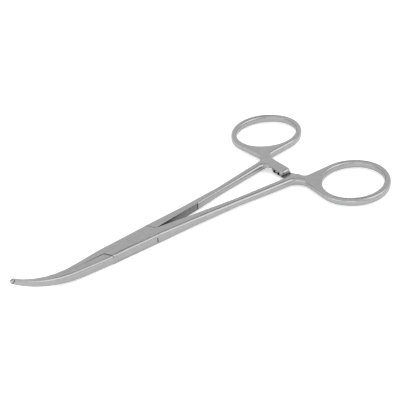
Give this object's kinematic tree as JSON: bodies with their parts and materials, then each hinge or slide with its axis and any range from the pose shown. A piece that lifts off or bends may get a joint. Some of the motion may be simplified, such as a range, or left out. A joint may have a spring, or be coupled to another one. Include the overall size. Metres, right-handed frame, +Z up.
{
  "type": "hemostat forceps",
  "caption": "Curved locking hemostat forceps with a box lock, cross-serrated jaws, slim tapered shanks, a toothed ratchet and two oval finger rings.",
  "frame": {"origin": "on the pivot axis, at the flat underside of the box lock on which the closed forceps lie", "axes": "+X runs from the jaws to the finger rings, +Z is up along the pivot axis, the way the jaw tips curl, +Y is the side of the male half's shank and ring"},
  "size_m": [0.1394, 0.0714, 0.0109],
  "materials": {
    "satin_steel": "satin",
    "pin_steel": "satin"
  },
  "bodies": {
    "female": {"female_half": "satin_steel", "pivot_pin": "pin_steel"},
    "male": {"male_half": "satin_steel"}
  },
  "joints": [
    {"name": "box_lock", "type": "hinge", "parent": "female", "child": "male", "pos_m": [0, 0, 0.00195], "axis": [0, 0, 1], "range_deg": [0, 50]}
  ]
}
